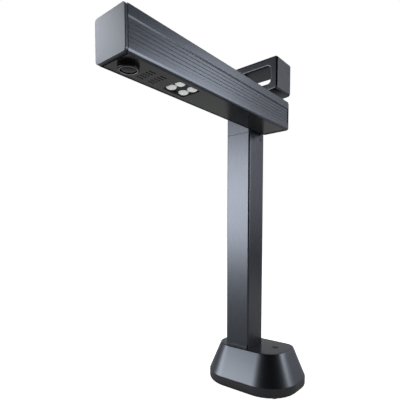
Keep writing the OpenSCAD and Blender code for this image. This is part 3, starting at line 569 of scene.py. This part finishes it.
handle_metal = anodised("anodised_aluminium_handle", "#43464b", 0.3, X)
handle_low, handle_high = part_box("carry_handle")
HANDLE_SIDE = 11 * MM
HANDLE_FOOT = 9.5 * MM
HANDLE_BAR = 11.5 * MM
handle = cuboid("carry_handle_cast", handle_low, handle_high)
bevel_edges(handle, lambda e: along(e, Y), 4 * MM, 8)
bevel_edges(handle, lambda e: (level(e, Y, handle_low.y) or level(e, Y, handle_high.y))
            and not level(e, Z, handle_low.z), 2.6 * MM, 6)
opening = cuboid("opening", (handle_low.x + HANDLE_SIDE, handle_low.y - 0.01, handle_low.z + HANDLE_FOOT),
                 (handle_high.x - HANDLE_SIDE, handle_high.y + 0.01, handle_high.z - HANDLE_BAR))
bevel_edges(opening, lambda e: along(e, Y), 4 * MM, 6)
cut_away(handle, opening)
bevel_edges(handle, lambda e: (level(e, Y, handle_low.y) or level(e, Y, handle_high.y)) and all(
    handle_low.x + 5 * MM < v.co.x < handle_high.x - 5 * MM
    and handle_low.z + 5 * MM < v.co.z < handle_high.z - 5 * MM for v in e.verts), 2.2 * MM, 6)
soften(handle, 0.2 * MM, 2, 40)
settle(handle, "stand", "handle_finish", handle_metal, "carry_handle")

# ---- arm extrusion ----
# One aluminium extrusion: plain band, bevelled step, ribbed field with six grooves a side,
# plain lower band, and a channel below that takes the bottom cover.

arm_metal = anodised("anodised_aluminium_extruded_arm", "#4a4e55", 0.28, Y)
arm_low, arm_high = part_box("arm_extrusion")
ARM_H = arm_high.z - arm_low.z
STEP_Z = arm_high.z - 0.246 * ARM_H
STEP = 0.6 * MM
GROOVES = 6
GROOVE_PITCH = 0.0984 * ARM_H
GROOVE_FIRST = arm_high.z - 0.285 * ARM_H
GROOVE_W = 1.2 * MM
GROOVE_DEPTH = 0.35 * MM
GROOVE_SLOPE = 0.45 * MM
STEP_SLOPE = 1.4 * MM
FOOT_SLOPE = 2.9 * MM
FOOT_IN = 0.65 * MM
ARM_FOOT_ROUND = 1.3 * MM
FIELD_END = GROOVE_FIRST - (GROOVES - 1) * GROOVE_PITCH
ARM_WALL = 2.4 * MM
CHANNEL_DEPTH = 30 * MM


def slice_level(piece, height):
    """Cuts edges right round a piece at one height."""
    pick(piece, "faces", lambda f: True)
    bpy.ops.mesh.bisect(plane_co=(0, 0, height), plane_no=(0, 0, 1))


def side_between(low, high):
    """Side faces whose middle lies between two heights."""
    return lambda f: abs(f.normal.x) > 0.9 and low < f.calc_center_median().z < high


def sunk(x, depth):
    """True if an X lies at a depth below either side of the arm."""
    return near(x, arm_low.x + depth) or near(x, arm_high.x - depth)


arm = cuboid("arm_extrusion_ribbed", arm_low, arm_high)
slice_level(arm, arm_low.z + FOOT_SLOPE)
pick(arm, "verts", lambda v: near(v.co.z, arm_low.z))
bpy.ops.transform.resize(value=(1 - 2 * FOOT_IN / (arm_high.x - arm_low.x), 1, 1))
bevel_edges(arm, lambda e: along(e, Y) and level(e, Z, arm_high.z), 1.0 * MM, 4)
bevel_edges(arm, lambda e: along(e, Y) and level(e, Z, arm_low.z), ARM_FOOT_ROUND, 4)
bevel_edges(arm, lambda e: along(e, Y) and level(e, Z, arm_low.z + FOOT_SLOPE), 0.5 * MM, 3)
slice_level(arm, STEP_Z)
slice_level(arm, FIELD_END)
pick(arm, "faces", side_between(FIELD_END, STEP_Z))
bpy.ops.mesh.extrude_faces_move(TRANSFORM_OT_shrink_fatten={"value": -STEP})
pick(arm, "verts", lambda v: near(v.co.z, STEP_Z) and sunk(v.co.x, STEP))
bpy.ops.transform.translate(value=(0, 0, -STEP_SLOPE))
for i in range(GROOVES):
    middle = GROOVE_FIRST - i * GROOVE_PITCH
    top, bottom = middle + GROOVE_W / 2, max(middle - GROOVE_W / 2, FIELD_END)
    slice_level(arm, top)
    if bottom > FIELD_END:
        slice_level(arm, bottom)
    depth = GROOVE_DEPTH if i else GROOVE_DEPTH / 2
    pick(arm, "faces", side_between(bottom, top))
    bpy.ops.mesh.extrude_faces_move(TRANSFORM_OT_shrink_fatten={"value": -depth})
    pick(arm, "verts", lambda v: near(v.co.z, top) and sunk(v.co.x, STEP + depth))
    bpy.ops.transform.translate(value=(0, 0, -GROOVE_SLOPE * (top - bottom) / GROOVE_W))
pick(arm, "faces", lambda f: f.normal.z < -0.9 and near(f.calc_center_median().z, arm_low.z))
bpy.ops.mesh.inset(thickness=ARM_WALL - FOOT_IN - ARM_FOOT_ROUND, use_even_offset=True)
bpy.ops.mesh.extrude_region_move(TRANSFORM_OT_translate={"value": (0, 0, CHANNEL_DEPTH)})
soften(arm, 0, angle=20)
settle(arm, "arm", "anodised_arm", arm_metal, "arm_extrusion")

# ---- end caps ----
# Machined aluminium plates, anodised grey, that close the extrusion. The front one
# stands off on a neck, coloured near black as painted shade for the gap, which leaves a dark line round the
# arm.

cap_metal = anodised("anodised_aluminium_end_cap", "#484b51", 0.3, X, line=0.2)
front_low, front_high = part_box("front_cap")
FRONT_T = 2.6 * MM
front = cuboid("front_cap_plate", front_low, (front_high.x, front_low.y + FRONT_T, front_high.z))
bevel_edges(front, lambda e: along(e, Y), 3 * MM, 6)
bevel_edges(front, lambda e: level(e, Y, front_low.y), 0.45 * MM, 4)
bevel_edges(front, lambda e: level(e, Y, front_low.y + FRONT_T), 0.25 * MM, 2)
soften(front, 0)
settle(front, "arm", "cap_finish", cap_metal, "front_cap")

# Near-black plastic: on the front cap's neck it is painted shade standing for the shadow in the gap; on the
# hinge cap it is the cap's own black.
black_plastic_and_gap_shade = moulded_plastic("abs_black_and_painted_gap_shade", "#0c0c0d", 0.6)
neck = cuboid("front_cap_neck", (front_low.x + 1 * MM, front_low.y + FRONT_T - 0.1 * MM, front_low.z + 1 * MM),
              (front_high.x - 1 * MM, arm_low.y + 0.5 * MM, front_high.z - 1 * MM))
bevel_edges(neck, lambda e: along(e, Y), 2 * MM, 5)
soften(neck, 0)
settle(neck, "arm", "black_plastic", black_plastic_and_gap_shade)

rear_low, rear_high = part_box("rear_cap")
rear = cuboid("rear_cap_plate", (rear_low.x + 0.45 * MM, arm_high.y, rear_low.z),
              (rear_high.x - 0.45 * MM, rear_high.y, rear_high.z))
bevel_edges(rear, lambda e: along(e, Y), 3 * MM, 6)
bevel_edges(rear, lambda e: level(e, Y, rear_high.y), 0.9 * MM, 4)
bevel_edges(rear, lambda e: level(e, Y, arm_high.y), 0.25 * MM, 2)
rear_screw_low, rear_screw_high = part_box("rear_cap_screws")
REAR_SCREW_R = 2.2 * MM
for x in (rear_screw_low.x + REAR_SCREW_R, rear_screw_high.x - REAR_SCREW_R):
    z = (rear_screw_low.z + rear_screw_high.z) / 2
    cut_away(rear, drum("sink", (x, rear_high.y, z), REAR_SCREW_R + 0.2 * MM, 2.6 * MM, "Y", 32))
soften(rear, 0)
settle(rear, "arm", "cap_finish", cap_metal, "rear_cap")

# ---- bottom cover ----
# A moulded strip that slides into the channel: satin near-black ABS with holes for the lens,
# the microphones and the lamp tray.

cover_plastic = moulded_plastic("abs_dark_grey_cover", "#101010", 0.24)
cover_low, cover_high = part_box("arm_bottom_cover")
lens_low, lens_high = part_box("lens_barrel")
lens_centre = (lens_low + lens_high) / 2
LENS_R = (lens_high.x - lens_low.x) / 2
lamp_low, lamp_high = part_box("led_lenses")
lamp_centre = (lamp_low + lamp_high) / 2
LAMP_W = 24.4 * MM
LAMP_L = 29.2 * MM
LAMP_FRONT = 1.5 * MM
MIC_ROWS = 5
MIC_ROW_PITCH = 4.2 * MM
MIC_HOLE_PITCH = 2.7 * MM
MIC_GROUPS = (40.1 * MM, 53.5 * MM)
MIC_HOLE_R = 1.1 * MM
MIC_SHIFT = 1.4 * MM

COVER_DROP = 0.5 * MM
COVER_END_GAP = 2.6 * MM
cover = cuboid(
    "bottom_cover",
    (arm_low.x + ARM_WALL + 0.2 * MM, cover_low.y + COVER_END_GAP, cover_low.z - COVER_DROP),
    (arm_high.x - ARM_WALL - 1.4 * MM, cover_high.y - COVER_END_GAP, cover_high.z))
cut_away(cover, drum("hole", (lens_centre.x, lens_centre.y, cover_low.z), LENS_R + 0.15 * MM, 20 * MM))
window = cuboid(
    "window",
    (lamp_centre.x - LAMP_W / 2, lamp_centre.y - LAMP_L / 2 - LAMP_FRONT, cover_low.z - 0.01),
    (lamp_centre.x + LAMP_W / 2, lamp_centre.y + LAMP_L / 2, cover_high.z + 0.01))
bevel_edges(window, lambda e: along(e, Z), 3 * MM, 6)
cut_away(cover, window)
punches = []
for group in MIC_GROUPS:
    for row in range(MIC_ROWS):
        for hole in (-1, 0, 1):
            x = lens_centre.x - MIC_SHIFT + (row - 2) * MIC_ROW_PITCH
            y = front_low.y + group + hole * MIC_HOLE_PITCH
            punches.append(drum("punch", (x, y, cover_low.z), MIC_HOLE_R, 10 * MM, sides=16))
start_clean()
for punch in punches:
    punch.select_set(True)
bpy.context.view_layer.objects.active = punches[0]
bpy.ops.object.join()
cut_away(cover, bpy.context.object)
soften(cover, 0.12 * MM, 1, 60)
settle(cover, "arm", "dark_panel", cover_plastic, "arm_bottom_cover")

# ---- lamp ----
# A shallow moulded tray under the arm with four frosted round lenses, each a low dome over
# its own light-emitting chip.

pocket_low, pocket_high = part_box("led_tray")
TRAY_DEPTH = 1.8 * MM
tray_plastic = moulded_plastic("abs_dark_grey_lamp_tray", "#060606", 0.6)
TRAY_GAP = 0.1 * MM
pocket = cuboid(
    "lamp_tray",
    (lamp_centre.x - LAMP_W / 2 + TRAY_GAP, lamp_centre.y - LAMP_L / 2 - LAMP_FRONT + TRAY_GAP, pocket_low.z),
    (lamp_centre.x + LAMP_W / 2 - TRAY_GAP, lamp_centre.y + LAMP_L / 2 - TRAY_GAP, pocket_high.z))
bevel_edges(pocket, lambda e: along(e, Z), 2.9 * MM, 6)
pick(pocket, "faces", lambda f: f.normal.z < -0.9)
bpy.ops.mesh.inset(thickness=0.25 * MM, use_even_offset=True)
bpy.ops.mesh.extrude_region_move(TRANSFORM_OT_translate={"value": (0, 0, TRAY_DEPTH - 0.2 * MM)})
soften(pocket, 0.1 * MM, 1, 50)
settle(pocket, "arm", "dark_panel", tray_plastic, "led_tray")


def frosted_lens(name):
    """Frosted white silicone: milky, with a satin skin and a faint glow for light inside it."""
    material, tree, where, shader = new_finish(name)
    cloud = add_node(tree, "ShaderNodeTexNoise", {"Vector": where, "Scale": 1 / (1.2 * MM), "Detail": 2})
    tint = add_node(tree, "ShaderNodeMix", {
        0: cloud.outputs["Fac"], 6: linear("#cfcfcf"), 7: linear("#e8e8e8")}, data_type="RGBA")
    relief = add_node(tree, "ShaderNodeBump", {
        "Height": cloud.outputs["Fac"], "Strength": 0.2, "Distance": 0.05 * MM})
    tree.links.new(tint.outputs[2], shader.inputs["Base Color"])
    tree.links.new(relief.outputs[0], shader.inputs["Normal"])
    shader.inputs["Roughness"].default_value = 0.35
    shader.inputs["IOR"].default_value = 1.41
    shader.inputs["Subsurface Weight"].default_value = 0.3
    shader.inputs["Subsurface Radius"].default_value = (0.002, 0.002, 0.002)
    shader.inputs["Emission Color"].default_value = linear("#f4f4f4")
    shader.inputs["Emission Strength"].default_value = 0.28
    return material


lamp_silicone = frosted_lens("frosted_silicone")
LED_R = 5.3 * MM
LED_DOME = 2.4 * MM
LED_PITCH = (12.3 * MM, 17.6 * MM)
tray_floor = pocket_low.z - 0.2 * MM + TRAY_DEPTH
for i, (sx, sy) in enumerate(((-1, -1), (1, -1), (-1, 1), (1, 1))):
    x = lamp_centre.x + sx * LED_PITCH[0] / 2
    y = lamp_centre.y + sy * LED_PITCH[1] / 2
    start_clean()
    bpy.ops.mesh.primitive_uv_sphere_add(
        segments=48, ring_count=24, radius=LED_R, location=(x, y, tray_floor))
    lens = bpy.context.object
    lens.name = lens.data.name = f"lamp_lens_{i + 1}"
    lens.scale = (1, 1, LED_DOME / LED_R)
    bpy.ops.object.transform_apply(location=True, rotation=True, scale=True)
    pick(lens, "faces", lambda f: True)
    bpy.ops.mesh.bisect(plane_co=(0, 0, tray_floor), plane_no=(0, 0, 1), use_fill=True, clear_outer=True)
    pick(lens, "faces", lambda f: f.normal.z > 0.9)
    bpy.ops.mesh.extrude_region_move(TRANSFORM_OT_translate={"value": (0, 0, 1.5 * MM)})
    soften(lens, 0)
    settle(lens, "arm", "lamp_lens", lamp_silicone, "led_lenses")

# ---- camera lens ----
# A gloss black anodised barrel with a smooth side and a mouth that narrows in two small steps,
# and a coated front element held by a thin ring.


def gloss_black(name, colour="#060607"):
    """Gloss black anodised metal: near black, with a mirror-like skin that varies a little."""
    material, tree, where, shader = new_finish(name)
    haze = add_node(tree, "ShaderNodeTexNoise", {"Vector": where, "Scale": 1 / (0.6 * MM), "Detail": 2})
    gloss = add_node(tree, "ShaderNodeMapRange", {
        "Value": haze.outputs["Fac"], "To Min": 0.12, "To Max": 0.22})
    tint = add_node(tree, "ShaderNodeMix", {
        0: haze.outputs["Fac"], 6: linear(colour), 7: linear("#0a0a0b")}, data_type="RGBA")
    tree.links.new(gloss.outputs[0], shader.inputs["Roughness"])
    tree.links.new(tint.outputs[2], shader.inputs["Base Color"])
    shader.inputs["IOR"].default_value = 1.35
    return material


def plated_steel(name, colour, roughness, scratch=0.3):
    """Plated, cast or sintered metal: bright, with short fine scratches."""
    material, tree, where, shader = new_finish(name)
    marks = add_node(tree, "ShaderNodeTexNoise", {"Vector": where, "Scale": 1 / (scratch * MM), "Detail": 4})
    gloss = add_node(tree, "ShaderNodeMapRange", {
        "Value": marks.outputs["Fac"], "To Min": roughness - 0.08, "To Max": roughness + 0.08})
    relief = add_node(tree, "ShaderNodeBump", {
        "Height": marks.outputs["Fac"], "Strength": 0.2, "Distance": 0.01 * MM})
    tree.links.new(gloss.outputs[0], shader.inputs["Roughness"])
    tree.links.new(relief.outputs[0], shader.inputs["Normal"])
    shader.inputs["Base Color"].default_value = linear(colour)
    shader.inputs["Metallic"].default_value = 1.0
    return material


barrel_black = gloss_black("gloss_black_barrel")
barrel = drum("lens_barrel_turned", (lens_centre.x, lens_centre.y, (lens_low.z + lens_high.z) / 2), LENS_R,
              lens_high.z - lens_low.z, sides=96)
pick(barrel, "faces", lambda f: f.normal.z < -0.9)
for inset, rise in ((1.2, 0.0), (0.25, 0.6), (0.05, 0.6)):
    bpy.ops.mesh.inset(thickness=inset * MM)
    bpy.ops.transform.translate(value=(0, 0, rise * MM))
bpy.ops.mesh.extrude_region_move(TRANSFORM_OT_translate={"value": (0, 0, 4 * MM)})
bevel_edges(barrel, lambda e: level(e, Z, lens_low.z) and all(
    (v.co.xy - lens_centre.xy).length > LENS_R - 1e-5 for v in e.verts), 0.9 * MM, 6)
soften(barrel, 0, angle=25)
settle(barrel, "arm", "lens_black", barrel_black, "lens_barrel")

RING_R = 7.9 * MM
RING_W = 0.4 * MM
start_clean()
bpy.ops.mesh.primitive_torus_add(
    major_radius=RING_R, minor_radius=RING_W, major_segments=96, minor_segments=16,
    location=(lens_centre.x, lens_centre.y, lens_low.z + RING_W))
ring = bpy.context.object
ring.name = ring.data.name = "lens_retaining_ring"
bpy.ops.object.transform_apply(location=True, rotation=True, scale=True)
soften(ring, 0)
settle(ring, "arm", "lens_black", plated_steel("black_chrome_ring", "#a6a6ad", 0.2), "lens_retainer")


def coated_glass(name):
    """Optical glass with an anti-reflection coat: dark, very smooth, with a faint violet cast."""
    material, tree, where, shader = new_finish(name)
    smear = add_node(tree, "ShaderNodeTexNoise", {"Vector": where, "Scale": 1 / (3 * MM), "Detail": 2})
    cast = add_node(tree, "ShaderNodeMix", {
        0: smear.outputs["Fac"], 6: linear("#101014"), 7: linear("#18141e")}, data_type="RGBA")
    gloss = add_node(tree, "ShaderNodeMapRange", {
        "Value": smear.outputs["Fac"], "To Min": 0.02, "To Max": 0.05})
    tree.links.new(cast.outputs[2], shader.inputs["Base Color"])
    tree.links.new(gloss.outputs[0], shader.inputs["Roughness"])
    shader.inputs["IOR"].default_value = 1.3
    return material


front_glass = coated_glass("coated_optical_glass")
GLASS_R = 7.7 * MM
GLASS_BULGE = 1.5 * MM
start_clean()
bpy.ops.mesh.primitive_uv_sphere_add(
    segments=64, ring_count=32, radius=GLASS_R,
    location=(lens_centre.x, lens_centre.y, lens_low.z + GLASS_BULGE + 0.15 * MM))
glass = bpy.context.object
glass.name = glass.data.name = "lens_front_element"
glass.scale = (1, 1, GLASS_BULGE / GLASS_R)
bpy.ops.object.transform_apply(location=True, rotation=True, scale=True)
soften(glass, 0)
settle(glass, "arm", "lens_glass", front_glass, "lens_glass")

# ---- hinge cap ----
# The round press-in cap over the hinge nut, on the column's left.

cap_piece = drum(
    "hinge_cap_moulded", (cap_low.x + 1.5 * MM, cap_centre.y, cap_centre.z), cap_radius, 3 * MM, "X")
pick(cap_piece, "faces", lambda f: f.normal.x < -0.9)
bpy.ops.mesh.inset(thickness=1.5 * MM)
bpy.ops.mesh.inset(thickness=0.4 * MM)
bpy.ops.transform.translate(value=(0.3 * MM, 0, 0))
soften(cap_piece, 0.25 * MM, 2)
settle(cap_piece, "stand", "black_plastic", black_plastic_and_gap_shade, "hinge_access_cap")

# ---- metal and inner parts ----
# Screws, shaft, nut, springs and plates are plated steel; boards are solder-masked; these CAD
# parts keep their shape and take the finish of the real piece.

zinc = plated_steel("zinc_plated_steel", "#9fa2a6", 0.35)
dark_screw = plated_steel("black_oxide_screw", "#3a3b3e", 0.4)
bronze = plated_steel("sintered_bronze", "#a08048", 0.45)
nickel = plated_steel("nickel_shell", "#b8babd", 0.25)
casting = plated_steel("zinc_casting", "#7f8286", 0.55, 1.2)
board_green = moulded_plastic("solder_mask_green", "#1f5a38", 0.35)
board_white = moulded_plastic("solder_mask_white", "#e6e6e0", 0.4)
nylon = moulded_plastic("nylon_natural", "#d8d5ca", 0.45)
black_abs = moulded_plastic("abs_black", "#1c1d1f", 0.45)
phosphor = moulded_plastic("phosphor_yellow", "#d9c04a", 0.5)
jacket = rubber("pvc_cable_jacket", "#1a1b1d", 0.55)
sensor_glass = coated_glass("sensor_cover_glass")

PLAIN = {
    zinc: ("base_screws", "socket_screws", "column_clamp_screws", "board_screws", "handle_screws", "stop_pin",
           "disc_springs", "hinge_nut", "hinge_shaft", "hinge_plate", "hinge_plate_screws", "ballast_plate"),
    dark_screw: ("head_screws", "rear_cap_screws"),
    casting: ("column_socket",),
    bronze: ("hinge_bush",),
    nickel: ("usb_socket", "microphones"),
    board_green: ("main_board", "usb_board", "switch_board", "camera_board", "microphone_board"),
    board_white: ("led_board",),
    nylon: ("thrust_washer",),
    black_abs: ("button_switch", "friction_washer", "lens_holder"),
    phosphor: ("led_chips",),
    jacket: ("column_cable", "arm_cable"),
    sensor_glass: ("image_sensor",),
}
for finish, names in PLAIN.items():
    for name in names:
        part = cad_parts[name]
        part.data.materials.clear()
        part.data.materials.append(finish)
